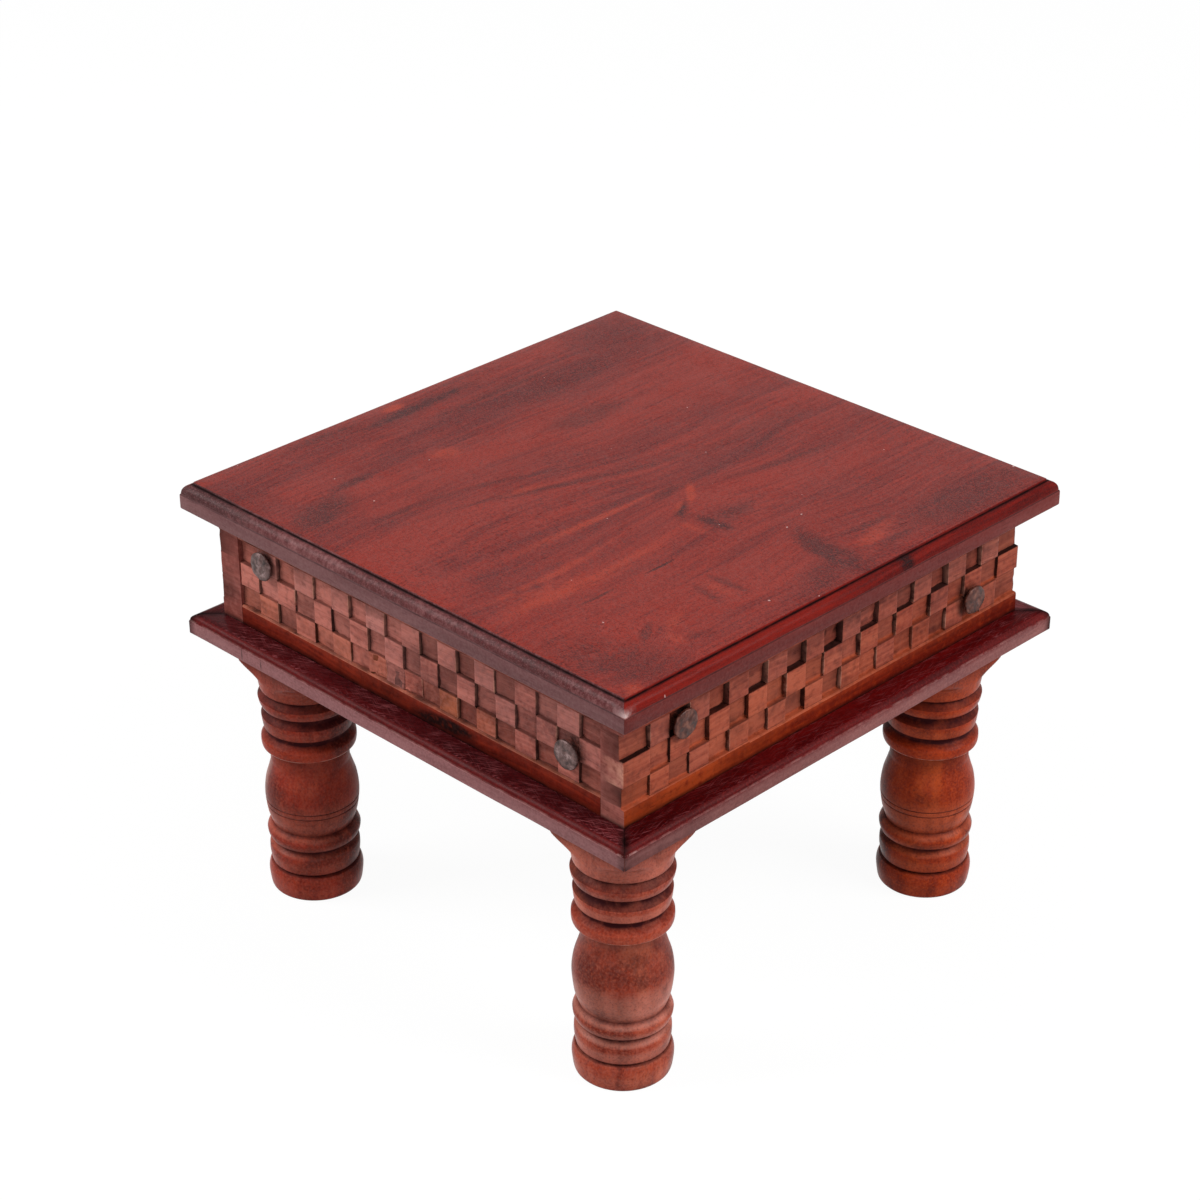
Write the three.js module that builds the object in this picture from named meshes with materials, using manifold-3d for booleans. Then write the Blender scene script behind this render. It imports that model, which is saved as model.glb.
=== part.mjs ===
// A low square table (bajot) in red-stained hardwood, in millimetres, +Z up.
// The origin is on the floor under the middle of the top.
// A moulded top lies on a carved apron, the apron stands on a mitred base frame,
// and four turned legs pass their tenons through the frame into corner blocks.
import * as THREE from "three";
import { mergeVertices } from "three/addons/utils/BufferGeometryUtils.js";
import Module from "manifold-3d";

const wasm = await Module();
wasm.setup();

// Whole table
const tableHeight = 231.2;
const topWidth = 304.8; // square, nose to nose
const topThickness = 14.4;
const apronHeight = 59.1;
const frameThickness = 10.9;
const topOverhang = 12.9; // nose of the top past the apron
const frameOverhang = 12.9; // nose of the base frame past the apron

// Top: two boards glued edge to edge, with one moulding round both
const narrowBoardWidth = 77.4;
const fieldBorder = 5.4; // flat field back from the nose
const quirkDrop = 1.3; // step down at the edge of the field
const beadDrop = 4.9; // height of the rounded bead under the step
const beadLedge = 0.5; // little ledge between bead and fascia
const topUnderRound = 0.8; // softened lower corner of the fascia
const beadSteps = 4;

// Apron: two boards run the full width, two are held between them
const apronThickness = 14.5;
const fullColumns = 21; // carved cells along a full board
const heldColumns = 19; // carved cells along a held board
const carvedRows = 3;
const bandHeight = 11; // plain band above and below the carving
const bandRelief = 0.6; // bands stand this much proud of the raised cells
const pocketDepth = 2.3; // sunk cells below the raised cells
const pocketMargin = 0.2; // wood left round each sunk cell

// Base frame: four flat mouldings, mitred at the corners
const railWidth = 66;
const railRoundReach = 4.6; // rounded top edge, inwards
const railRoundDrop = 3.3; // rounded top edge, downwards
const railLip = 0.4; // fascia stands proud of the rounding
const railUnderRound = 0.9;
const railRoundSteps = 4;
const mitreGap = 0.15; // held back from each mitre plane

// Corner blocks inside the apron
const blockWidth = 40;

// Legs: square stock, turned below a square shoulder, with a round tenon
const legRadius = 24.7; // fullest ring
const legStock = 49; // side of the square stock
const cornerCover = 0.8; // flare outside the stock's corners, which leaves them sharp
const tenonRadius = 9;
const tenonLength = 14; // into the corner block
const tenonWall = 3.8; // block wood left outside the tenon
const tenonChamfer = 1;
const tenonFit = 0.3;
const legSegments = 28;
const tenonSegments = 16;

// Dome-headed studs through the apron into the corner blocks
const studHeadRadius = 7.5;
const studHeadEdge = 1.5;
const studHeadDome = 1.7;
const studShankRadius = 2.4;
const studShankLength = 30;
const studPoint = 4;
const studFit = 0.3;
const studSegments = 20;

// Wood screws: from the frame up into the apron, and from the blocks up into the top
const screwHeadRadius = 4;
const screwHeadHeight = 2.6;
const screwShankRadius = 2;
const screwPoint = 4;
const screwFit = 0.3;
const screwSegments = 10;
const frameScrewLength = 28;
const frameScrewOffset = 60; // each side of the middle of a rail
const topScrewLength = 32;
const topScrewInset = 7; // in from the inner faces of a block
const topScrewSeat = 25; // block wood between screw head and top
const counterboreWall = 1;

const overrun = 2; // cutters run this far past the faces that they open

// Outline of a leg from floor to shoulder, as shares of its height and its fullest radius
const legOutlineShares = [
  [0, 0.89],
  [0.02, 0.965],
  [0.054, 0.992],
  [0.08, 0.965],
  [0.101, 0.85],
  [0.107, 0.9],
  [0.13, 0.94],
  [0.154, 0.943],
  [0.171, 0.834],
  [0.197, 0.834],
  [0.203, 0.93],
  [0.225, 0.975],
  [0.238, 0.98],
  [0.255, 0.86],
  [0.268, 0.875],
  [0.313, 0.947],
  [0.375, 0.984],
  [0.429, 0.947],
  [0.47, 0.874],
  [0.504, 0.814],
  [0.545, 0.789],
  [0.555, 0.8],
  [0.56, 0.89],
  [0.58, 0.972],
  [0.599, 0.992],
  [0.62, 0.85],
  [0.646, 0.85],
  [0.654, 0.92],
  [0.678, 0.95],
  [0.697, 0.955],
  [0.715, 0.858],
  [0.733, 0.858],
  [0.74, 0.96],
  [0.756, 0.992],
  [0.771, 1],
  [0.798, 0.88],
  [0.804, 0.955],
  [0.825, 0.99],
];
const shoulderShare = 0.9; // the square stock starts here, as a share of the leg's height

// Flare from the last outline point to the corner of the square stock, as shares of the way
const legFlareShares = [
  [0.25, 0.16],
  [0.47, 0.44],
  [0.69, 0.75],
  [1, 1],
];

// Studs of each face, seen from outside: [along, up] as shares of half the apron's
// width and of its height. The left one sits high and the right one low, so the
// shanks of two faces cross one above the other in a corner block.
const studPlaceShares = [
  [[-0.754, 0.68], [0.756, 0.416]],
  [[-0.735, 0.665], [0.737, 0.355]],
  [[-0.74, 0.69], [0.75, 0.4]],
  [[-0.75, 0.7], [0.74, 0.39]],
];

// Levels and half widths that follow from the sizes above
const topUnderside = tableHeight - topThickness;
const apronBottom = topUnderside - apronHeight;
const frameBottom = apronBottom - frameThickness;
const topHalf = topWidth / 2;
const apronHalf = topHalf - topOverhang;
const apronInner = apronHalf - apronThickness;
const frameHalf = apronHalf + frameOverhang;
const legCentre = apronInner - tenonWall - tenonRadius;
const blockInner = apronInner - blockWidth;
const screwPlace = blockInner + topScrewInset;
const screwSeatLevel = topUnderside - topScrewSeat;
const screwRow = apronHalf - apronThickness / 2;
const quarter = Math.PI / 2;

// Faces of the table in order: front (-Y), right (+X), back (+Y), left (-X)
const faceNames = ["front", "right", "back", "left"];
const cornerNames = ["front_right", "back_right", "back_left", "front_left"];

const woods = {
  top: { color: 0x8e3328, roughness: 0.34, metalness: 0 },
  apron: { color: 0x9a4a38, roughness: 0.6, metalness: 0 },
  frame: { color: 0x5e1c1c, roughness: 0.38, metalness: 0 },
  leg: { color: 0x97503a, roughness: 0.45, metalness: 0 },
  block: { color: 0xa56a48, roughness: 0.75, metalness: 0 },
};
const metals = {
  stud: { color: 0x5c5048, roughness: 0.5, metalness: 0.9 },
  screw: { color: 0x8d8678, roughness: 0.4, metalness: 1 },
};

const table = new THREE.Group();

function addPiece(name, geometry, finish) {
  const material = new THREE.MeshStandardMaterial({ ...finish, flatShading: true });
  const mesh = new THREE.Mesh(geometry, material);
  mesh.name = name;
  table.add(mesh);
}

// Closed geometry to solid and back

function solidOf(geometry) {
  const bare = geometry.clone();
  bare.deleteAttribute("normal");
  bare.deleteAttribute("uv");
  const merged = mergeVertices(bare);
  return new wasm.Manifold(
    new wasm.Mesh({
      numProp: 3,
      vertProperties: Float32Array.from(merged.attributes.position.array),
      triVerts: Uint32Array.from(merged.index.array),
    }),
  );
}

function geometryOf(solid) {
  const mesh = solid.getMesh();
  const geometry = new THREE.BufferGeometry();
  geometry.setAttribute("position", new THREE.BufferAttribute(mesh.vertProperties, 3));
  geometry.setIndex(new THREE.BufferAttribute(mesh.triVerts, 1));
  geometry.computeVertexNormals();
  return geometry;
}

// A box between two corners
function boxBetween(low, high) {
  const size = high.map((value, axis) => value - low[axis]);
  const middle = high.map((value, axis) => (value + low[axis]) / 2);
  return new THREE.BoxGeometry(...size).translate(...middle);
}

// A solid of revolution about +Z from [radius, height] points, listed upwards
function turned(points, segments) {
  const outline = points.map(([radius, height]) => new THREE.Vector2(radius, height));
  return new THREE.LatheGeometry(outline, segments).rotateX(quarter);
}

// A square slab from [half width, height] points, listed upwards
function squareSlab(points) {
  const outline = points.map(
    ([half, height]) => new THREE.Vector2(half * Math.SQRT2, height),
  );
  return new THREE.LatheGeometry(outline, 4, quarter / 2).rotateX(quarter);
}

// Points of a quarter of an ellipse, from straight up to straight out
function quarterRound(centre, reach, rise, steps) {
  return Array.from({ length: steps + 1 }, (_, step) => {
    const angle = quarter * (1 - step / steps);
    const out = centre[0] + reach * Math.cos(angle);
    return [out, centre[1] + rise * Math.sin(angle)];
  });
}

// An upright peg for holes and tenons
function peg(radius, bottom, top, segments) {
  return turned([[0, bottom], [radius, bottom], [radius, top], [0, top]], segments);
}

// Turn something made for the front face round to another face
function onFace(geometry, face) {
  return geometry.rotateZ(face * quarter);
}

// Lay an upright turning down so that its top points out of the front face
function outOfFront(geometry) {
  return geometry.rotateX(quarter);
}

// Screws

function screwOutline(length, fit) {
  const head = screwHeadRadius + fit;
  const shank = screwShankRadius + fit;
  return [
    [0, -fit],
    [head, -fit],
    [shank, screwHeadHeight],
    [shank, length - screwPoint],
    [0, length + fit],
  ];
}

function frameScrew(face, side, fit) {
  const geometry = turned(screwOutline(frameScrewLength, fit), screwSegments);
  geometry.translate(side * frameScrewOffset, -screwRow, frameBottom + screwFit);
  return onFace(geometry, face);
}

function topScrew(corner, fit) {
  const geometry = turned(screwOutline(topScrewLength, fit), screwSegments);
  geometry.translate(screwPlace, -screwPlace, screwSeatLevel);
  return onFace(geometry, corner);
}

// Studs

function studShankOutline(fit) {
  const radius = studShankRadius + fit;
  return [
    [0, -studShankLength - fit],
    [radius, studPoint - studShankLength],
    [radius, 0],
  ];
}

function studHeadOutline() {
  const dome = quarterRound([0, studHeadEdge], studHeadRadius, studHeadDome, 3);
  return [[studHeadRadius, 0], ...dome.reverse()];
}

function placeStud(geometry, face, place) {
  const [along, up] = place;
  outOfFront(geometry);
  geometry.translate(along * apronHalf, -apronHalf, apronBottom + up * apronHeight);
  return onFace(geometry, face);
}

function stud(face, place) {
  const outline = [...studShankOutline(0), ...studHeadOutline()];
  return placeStud(turned(outline, studSegments), face, place);
}

function studHole(face, place) {
  const radius = studShankRadius + studFit;
  const outline = [...studShankOutline(studFit), [radius, overrun], [0, overrun]];
  return placeStud(turned(outline, studSegments), face, place);
}

// Top

function topOutline() {
  const beadTop = tableHeight - quirkDrop;
  const field = topHalf - fieldBorder;
  const beadReach = fieldBorder - beadLedge;
  const bead = quarterRound([field, beadTop - beadDrop], beadReach, beadDrop, beadSteps);
  return [
    [0, topUnderside],
    [topHalf - topUnderRound, topUnderside],
    [topHalf, topUnderside + topUnderRound],
    [topHalf, beadTop - beadDrop],
    ...bead.reverse(),
    [field, tableHeight],
    [0, tableHeight],
  ];
}

function makeTop() {
  let slab = solidOf(squareSlab(topOutline()));
  for (const corner of cornerNames.keys()) {
    slab = slab.subtract(solidOf(topScrew(corner, screwFit)));
  }
  const seam = topHalf - narrowBoardWidth;
  const reach = topHalf + overrun;
  const level = [topUnderside - overrun, tableHeight + overrun];
  const wide = boxBetween([-reach, -reach, level[0]], [seam, reach, level[1]]);
  const narrow = boxBetween([seam, -reach, level[0]], [reach, reach, level[1]]);
  addPiece("top_board_wide", geometryOf(slab.intersect(solidOf(wide))), woods.top);
  addPiece("top_board_narrow", geometryOf(slab.intersect(solidOf(narrow))), woods.top);
}

// Apron with its checker of sunk and raised cells

function isSunk(row, column) {
  const even = column % 2 === 0;
  return row === 1 ? !even : even;
}

function carveBoard(board, length, columns, openEnds) {
  const cellHeight = (apronHeight - 2 * bandHeight) / carvedRows;
  const cellLength = length / columns;
  const raisedFace = -apronHalf + bandRelief;
  const sunkFace = raisedFace + pocketDepth;
  const fieldBottom = apronBottom + bandHeight;
  const fieldTop = topUnderside - bandHeight;
  const out = -apronHalf - overrun;
  const past = length / 2 + overrun;
  const field = boxBetween([-past, out, fieldBottom], [past, raisedFace, fieldTop]);
  let carved = board.subtract(solidOf(field));
  for (let row = 0; row < carvedRows; row += 1) {
    const low = fieldBottom + row * cellHeight + pocketMargin;
    const high = low + cellHeight - 2 * pocketMargin;
    for (let column = 0; column < columns; column += 1) {
      if (!isSunk(row, column)) continue;
      const atLeft = openEnds && column === 0;
      const atRight = openEnds && column === columns - 1;
      const start = column * cellLength - length / 2;
      const left = atLeft ? -past : start + pocketMargin;
      const right = atRight ? past : start + cellLength - pocketMargin;
      const pocket = boxBetween([left, out, low], [right, sunkFace, high]);
      carved = carved.subtract(solidOf(pocket));
    }
  }
  return carved;
}

function makeApron(face) {
  const full = face % 2 === 1;
  const length = full ? 2 * apronHalf : 2 * apronInner;
  const columns = full ? fullColumns : heldColumns;
  const low = [-length / 2, -apronHalf, apronBottom];
  const high = [length / 2, -apronInner, topUnderside];
  let board = carveBoard(solidOf(boxBetween(low, high)), length, columns, full);
  board = solidOf(onFace(geometryOf(board), face));
  for (const place of studPlaceShares[face]) {
    board = board.subtract(solidOf(studHole(face, place)));
  }
  for (const side of [-1, 1]) {
    board = board.subtract(solidOf(frameScrew(face, side, screwFit)));
  }
  addPiece(`${faceNames[face]}_apron`, geometryOf(board), woods.apron);
}

// Base frame

function railOutline() {
  const roundTop = frameHalf - railLip;
  const centre = [roundTop - railRoundReach, apronBottom - railRoundDrop];
  return [
    [frameHalf - railWidth, frameBottom],
    [frameHalf - railUnderRound, frameBottom],
    [frameHalf, frameBottom + railUnderRound],
    [frameHalf, apronBottom - railRoundDrop - railLip],
    ...quarterRound(centre, railRoundReach, railRoundDrop, railRoundSteps).reverse(),
    [frameHalf - railWidth, apronBottom],
  ];
}

// One rail of the frame, with both ends cut to its mitres
function mitredRail() {
  const outline = railOutline().map(([out, up]) => new THREE.Vector2(out, up));
  const options = { depth: 1, bevelEnabled: false };
  const geometry = new THREE.ExtrudeGeometry(new THREE.Shape(outline), options);
  const place = geometry.attributes.position;
  for (let index = 0; index < place.count; index += 1) {
    const out = place.getX(index);
    const up = place.getY(index);
    const end = place.getZ(index) > 0 ? -1 : 1;
    place.setXYZ(index, end * (out - mitreGap), -out, up);
  }
  return geometry;
}

function tenonHole(corner) {
  const level = apronBottom + tenonLength + tenonFit;
  const radius = tenonRadius + tenonFit;
  const hole = peg(radius, frameBottom - overrun, level, tenonSegments);
  return onFace(hole.translate(legCentre, -legCentre, 0), corner);
}

function makeRail(face) {
  let rail = solidOf(onFace(mitredRail(), face));
  const before = (face + cornerNames.length - 1) % cornerNames.length;
  for (const corner of [face, before]) {
    rail = rail.subtract(solidOf(tenonHole(corner)));
  }
  for (const side of [-1, 1]) {
    rail = rail.subtract(solidOf(frameScrew(face, side, screwFit)));
  }
  addPiece(`${faceNames[face]}_base_rail`, geometryOf(rail), woods.frame);
}

// Corner blocks, which take the tenons, the stud shanks and the top screws

function makeBlock(corner) {
  const low = [blockInner, -apronInner, apronBottom];
  const high = [apronInner, -blockInner, topUnderside];
  let block = solidOf(onFace(boxBetween(low, high), corner));
  const bore = screwHeadRadius + counterboreWall;
  const counterbore = peg(bore, apronBottom - overrun, screwSeatLevel, screwSegments);
  counterbore.translate(screwPlace, -screwPlace, 0);
  const cutters = [tenonHole(corner), onFace(counterbore, corner), topScrew(corner, screwFit)];
  for (const face of [corner, (corner + 1) % faceNames.length]) {
    for (const place of studPlaceShares[face]) {
      cutters.push(studHole(face, place));
    }
  }
  for (const cutter of cutters) {
    block = block.subtract(solidOf(cutter));
  }
  addPiece(`${cornerNames[corner]}_corner_block`, geometryOf(block), woods.block);
}

// Legs

// The whole turning, up to the corners of the square stock
function legOutline() {
  const outline = legOutlineShares.map(([up, out]) => [out * legRadius, up * frameBottom]);
  const [neck, neckLevel] = outline.at(-1);
  const corner = (legStock * Math.SQRT2) / 2 + cornerCover;
  const rise = shoulderShare * frameBottom - neckLevel;
  const flare = legFlareShares.map(([up, out]) => [
    neck + out * (corner - neck),
    neckLevel + up * rise,
  ]);
  return [[0, 0], ...outline, ...flare, [corner, frameBottom], [0, frameBottom]];
}

function makeLeg(corner) {
  const turning = solidOf(turned(legOutline(), legSegments));
  const half = legStock / 2;
  const stock = solidOf(boxBetween([-half, -half, 0], [half, half, frameBottom]));
  const tenonTop = apronBottom + tenonLength;
  const tenon = turned(
    [
      [0, frameBottom - overrun],
      [tenonRadius, frameBottom - overrun],
      [tenonRadius, tenonTop - tenonChamfer],
      [tenonRadius - tenonChamfer, tenonTop],
      [0, tenonTop],
    ],
    tenonSegments,
  );
  const leg = geometryOf(turning.intersect(stock).add(solidOf(tenon)));
  leg.translate(legCentre, -legCentre, 0);
  addPiece(`${cornerNames[corner]}_leg`, onFace(leg, corner), woods.leg);
}

makeTop();
for (const face of faceNames.keys()) {
  makeApron(face);
  makeRail(face);
  studPlaceShares[face].forEach((place, index) => {
    const name = `${faceNames[face]}_stud_${index === 0 ? "high" : "low"}`;
    addPiece(name, stud(face, place), metals.stud);
  });
  [-1, 1].forEach((side, index) => {
    const name = `${faceNames[face]}_frame_screw_${index + 1}`;
    addPiece(name, frameScrew(face, side, 0), metals.screw);
  });
}
for (const corner of cornerNames.keys()) {
  makeBlock(corner);
  makeLeg(corner);
  addPiece(`${cornerNames[corner]}_top_screw`, topScrew(corner, 0), metals.screw);
}

export default table;
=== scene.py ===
# A small carved bajot table, dressed over its solid frame. Metres, +Z up.
import math
import random

import bmesh
import bpy
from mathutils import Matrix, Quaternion, Vector, noise


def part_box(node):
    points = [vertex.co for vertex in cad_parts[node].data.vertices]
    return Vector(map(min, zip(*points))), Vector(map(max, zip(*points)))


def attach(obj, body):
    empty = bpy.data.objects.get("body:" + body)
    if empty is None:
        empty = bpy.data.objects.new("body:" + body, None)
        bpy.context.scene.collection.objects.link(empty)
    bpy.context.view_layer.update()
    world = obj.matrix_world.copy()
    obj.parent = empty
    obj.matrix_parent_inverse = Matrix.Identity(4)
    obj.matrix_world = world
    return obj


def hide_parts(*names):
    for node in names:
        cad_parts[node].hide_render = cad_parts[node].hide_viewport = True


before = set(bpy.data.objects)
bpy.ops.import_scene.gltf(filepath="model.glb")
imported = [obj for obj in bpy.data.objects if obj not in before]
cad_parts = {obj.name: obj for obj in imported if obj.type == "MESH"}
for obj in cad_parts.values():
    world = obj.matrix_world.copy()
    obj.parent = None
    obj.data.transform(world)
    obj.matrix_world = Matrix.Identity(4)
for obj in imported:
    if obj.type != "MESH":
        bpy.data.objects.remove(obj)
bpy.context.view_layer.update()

mm = 0.001
quarter = math.pi / 2
faceNames = ["front", "right", "back", "left"]  # -Y, +X, +Y, -X
cornerNames = ["front_right", "back_right", "back_left", "front_left"]


def addObject(name, data):
    thing = bpy.data.objects.new(name, data)
    bpy.context.scene.collection.objects.link(thing)
    return thing


# Turn a camera or a lamp that looks down its own -Z.
def lookAlong(thing, ahead, roll=0):
    thing.rotation_mode = "QUATERNION"
    turn = Quaternion((0, 0, 1), math.radians(roll))
    thing.rotation_quaternion = ahead.to_track_quat("-Z", "Y") @ turn


# Camera

cameraLook = {
    "place": (0.91267, -0.92985, 0.88250), "aim": (-0.01464, 0.00069, 0.15849),
    "roll": -0.21,  # degrees
    "lens": 89.56,  # mm
    "sensor": 36,  # mm
    "clip": (0.05, 60),
}


def makeCamera(look):
    data = bpy.data.cameras.new("camera")
    data.lens = look["lens"]
    data.sensor_width = look["sensor"]
    data.clip_start, data.clip_end = look["clip"]
    camera = addObject("camera", data)
    camera.location = look["place"]
    lookAlong(camera, Vector(look["aim"]) - Vector(look["place"]), look["roll"])
    bpy.context.scene.camera = camera


makeCamera(cameraLook)
print("camera is set")


# Shader helpers

class Shading:  # the nodes of one material or world
    def __init__(self, owner):
        owner.use_nodes = True
        self.tree = owner.node_tree
        self.tree.nodes.clear()

    def node(self, kind, sockets=None, **settings):
        node = self.tree.nodes.new("ShaderNode" + kind)
        for key, value in settings.items():
            setattr(node, key, value)
        for key, value in (sockets or {}).items():
            if isinstance(value, bpy.types.NodeSocket):
                self.tree.links.new(value, node.inputs[key])
            else:
                node.inputs[key].default_value = value
        return node

    def finish(self, shader, kind="OutputMaterial"):
        self.node(kind, {0: shader.outputs[0]})

    def math(self, how, a, b, clamp=False):
        return self.node("Math", {0: a, 1: b}, operation=how, use_clamp=clamp).outputs[0]

    def times(self, a, b, clamp=False):
        return self.math("MULTIPLY", a, b, clamp)

    def plus(self, a, b, clamp=False):
        return self.math("ADD", a, b, clamp)

    def vector(self, how, a, b):
        sockets = {0: a, 3 if how == "SCALE" else 1: b}
        return self.node("VectorMath", sockets, operation=how).outputs[0]

    def mix(self, share, a, b, how="MIX"):
        sockets = {0: share, 6: a, 7: b}
        return self.node("Mix", sockets, data_type="RGBA", blend_type=how).outputs[2]

    def ramp(self, share, stops):
        node = self.node("ValToRGB", {0: share})
        band = node.color_ramp
        while len(band.elements) < len(stops):
            band.elements.new(0.5)
        for element, (place, colour) in zip(band.elements, stops):
            element.position = place
            element.color = colour
        return node.outputs[0]

    def remap(self, value, low, high, lowTo=0, highTo=1):
        sockets = {0: value, 1: low, 2: high, 3: lowTo, 4: highTo}
        return self.node("MapRange", sockets, clamp=True).outputs[0]

    def noise(self, vector, scale, detail=3, rough=0.5, distort=0):
        sockets = {"Vector": vector, "Scale": scale, "Detail": detail,
                   "Roughness": rough, "Distortion": distort}
        return self.node("TexNoise", sockets).outputs[0]

    def mapping(self, vector, kind="POINT", place=(0, 0, 0), turn=0, scale=(1, 1, 1)):
        sockets = {"Vector": vector, "Location": place,
                   "Rotation": (0, 0, math.radians(turn)), "Scale": scale}
        return self.node("Mapping", sockets, vector_type=kind).outputs[0]

    # 1 in the middle of an ellipsoid, falling to 0 at its edge
    def spot(self, vector, centre, reach, turn=0):
        inside = self.mapping(vector, "TEXTURE", [c * mm for c in centre], turn,
                              [r * mm for r in reach])
        return self.node("TexGradient", {0: inside}, gradient_type="SPHERICAL").outputs[1]

    def layer(self, name):
        return self.node("Attribute", attribute_name=name).outputs["Fac"]


# A colour read as it looks on screen, 0 to 255, turned into linear light.
def rgb(red, green, blue):
    def linear(value):
        share = value / 255
        return share / 12.92 if share <= 0.04045 else ((share + 0.055) / 1.055) ** 2.4
    return (linear(red), linear(green), linear(blue), 1)


# Dark, middle and pale parts of a wood's figure.
def stain(deep, mid, light):
    return {"deep": deep, "mid": mid, "light": light}


# Stained wood: broad figure, streaks, fine grain and pores that all run one way

def woodFinish(name, look):
    material = bpy.data.materials.new(name)
    s = Shading(material)
    place = straight = s.node("TexCoord").outputs["Object"]

    def colourOf(shade):
        return rgb(*look[shade])

    for bend in look.get("bends", []):  # the grain parts round a knot
        away = s.spot(place, bend["centre"], bend["reach"])
        place = s.vector("ADD", place, s.vector("SCALE", bend["push"], away))
    sway = s.node("TexNoise", {"Vector": place, "Scale": look["swayScale"], "Detail": 1.5})
    sway = s.vector("SUBTRACT", sway.outputs[1], (0.5, 0.5, 0.5))
    place = s.vector("ADD", place, s.vector("SCALE", sway, look["sway"] * mm))

    def alongGrain(stretch):
        scale = [1, 1, 1]
        scale[look["grain"]] = min(1, stretch * look["stretch"])
        return s.mapping(place, place=look["offset"], scale=scale)

    streak = s.noise(alongGrain(0.05), look["streak"], 5, 0.6, 0.3)
    fine = s.noise(alongGrain(0.025), look["fine"], 3, 0.6)
    pores = s.noise(alongGrain(0.07), look["pores"], 2, 0.5)
    pores = s.remap(pores, 0.62, 0.74)
    figure = s.times(s.noise(alongGrain(0.16), look["broad"], 3, 0.5), look["broadShare"])
    figure = s.plus(figure, s.times(streak, look["streakShare"]))
    figure = s.plus(figure, s.times(fine, look["fineShare"]))
    low, high = look["spread"]
    colour = s.ramp(figure, [(low, colourOf("deep")), ((low + high) / 2, colourOf("mid")),
                             (high, colourOf("light"))])
    patchy = s.noise(place, look["patch"], 4, 0.6)
    tone = s.layer("tone")
    swing = s.remap(figure, low, high, 0.7, 1.25)
    for sign, shade in ((1, "warm"), (-1, "dull")):
        tint = s.mix(1, colourOf(shade), swing, "MULTIPLY")
        colour = s.mix(s.times(tone, sign, True), colour, tint)
    ragged = s.plus(s.times(streak, 3), s.times(patchy, 2.4))
    ragged = s.math("SUBTRACT", ragged, 1.7)  # frays the edges of marks
    for centre, reach, turn, share, shade in look.get("marks", []):
        mask = s.times(s.spot(place, centre, reach, turn), ragged)
        mask = s.remap(mask, *look["markEdge"], 0, share)
        colour = s.mix(mask, colour, colourOf(shade))
    cloud = s.noise(alongGrain(0.55), look["blotch"], 3, 0.6)
    cloud = s.remap(cloud, 0.5, 0.66, 0, look["blotchShare"])
    colour = s.mix(cloud, colour, colourOf("shade"))
    mottle = s.noise(place, look["mottle"], 2, 0.5)
    for shade, start, way in (("light", 0.51, 1), ("shade", 0.49, -1)):
        end = start + way * look["mottleReach"]
        mask = s.remap(mottle, start, end, 0, look["mottleShare"])
        colour = s.mix(mask, colour, colourOf(shade))
    haze = s.remap(s.noise(place, look["hazeScale"], 5, 0.7), 0.4, 0.68, 0, look["hazeShare"])
    colour = s.mix(haze, colour, colourOf("haze"))
    colour = s.mix(s.times(pores, look["poreShare"]), colour, colourOf("grimeAndShade"))
    for turn, share in look.get("scratches", []):
        lines = s.mapping(straight, "TEXTURE", turn=turn, scale=(22, 1, 1))
        lines = s.remap(s.noise(lines, 2100, 1, 0.5), 0.6, 0.68, 0, share)
        worked = s.remap(s.noise(place, 26, 2), 0.36, 0.48, 0.25, 1)
        colour = s.mix(s.times(lines, worked), colour, colourOf("scratch"))
    if "dust" in look:
        specks = s.node("TexVoronoi", {"Vector": place, "Scale": look["dust"]},
                        voronoi_dimensions="2D").outputs[0]
        size = s.remap(s.noise(place, 23, 1), 0.46, 0.62, 0, 0.012)
        speck = s.times(s.math("LESS_THAN", specks, size), 0.6)
        colour = s.mix(speck, colour, colourOf("wornAndHighlight"))
    # dirt, stain and painted shade in grooves, steps, walls and under things
    grimeAndShade = s.times(s.layer("grimeAndShade"), s.remap(patchy, 0.3, 0.62, 0.7, 1.15), True)
    colour = s.mix(grimeAndShade, colour, colourOf("grimeAndShade"))
    # rubbed bare wood, and painted highlights on the near corners and along the rail's crest
    wearAndHighlight = s.times(s.layer("wearAndHighlight"), s.remap(patchy, 0.38, 0.6), True)
    colour = s.mix(wearAndHighlight, colour, colourOf("wornAndHighlight"))

    dry = s.remap(s.noise(place, 45, 3), 0.3, 0.7, *look["roughness"])
    dry = s.plus(dry, s.times(pores, 0.15), True)
    dry = s.plus(dry, s.times(grimeAndShade, 0.3), True)
    relief = s.math("SUBTRACT", s.times(fine, 0.5), s.times(pores, 0.6))
    relief = s.plus(relief, s.times(patchy, look["uneven"]))
    bump = s.node("Bump", {"Strength": look["bump"], "Distance": 0.4 * mm, "Height": relief})
    s.finish(s.node("BsdfPrincipled", {
        "Base Color": colour, "Roughness": dry, "Specular IOR Level": look["specular"],
        "Normal": bump.outputs[0],
    }))
    return material


woodBase = {  # scales per metre, shades 0 to 255
    "grain": 1, "stretch": 1, "offset": (0, 0, 0), "swayScale": 9, "sway": 14,
    "broad": 22, "broadShare": 0.5, "streak": 110, "streakShare": 0.34,
    "fine": 620, "fineShare": 0.16, "spread": (0.38, 0.62),
    "pores": 1500, "poreShare": 0.35, "patch": 160, "markEdge": (0.12, 0.6),
    "blotch": 30, "blotchShare": 0, "mottle": 900, "mottleReach": 0.2, "mottleShare": 0.25,
    "hazeScale": 600, "hazeShare": 0.12, "haze": (176, 140, 138),
    "roughness": (0.34, 0.44), "specular": 0.3, "bump": 0.25, "uneven": 0.25,
    **stain((104, 44, 40), (140, 54, 46), (168, 64, 50)),
    "grimeAndShade": (40, 18, 16), "wornAndHighlight": (190, 110, 90), "warm": (186, 84, 44),
    "dull": (120, 62, 56), "shade": (92, 46, 42), "glow": (178, 74, 48),
}


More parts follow.
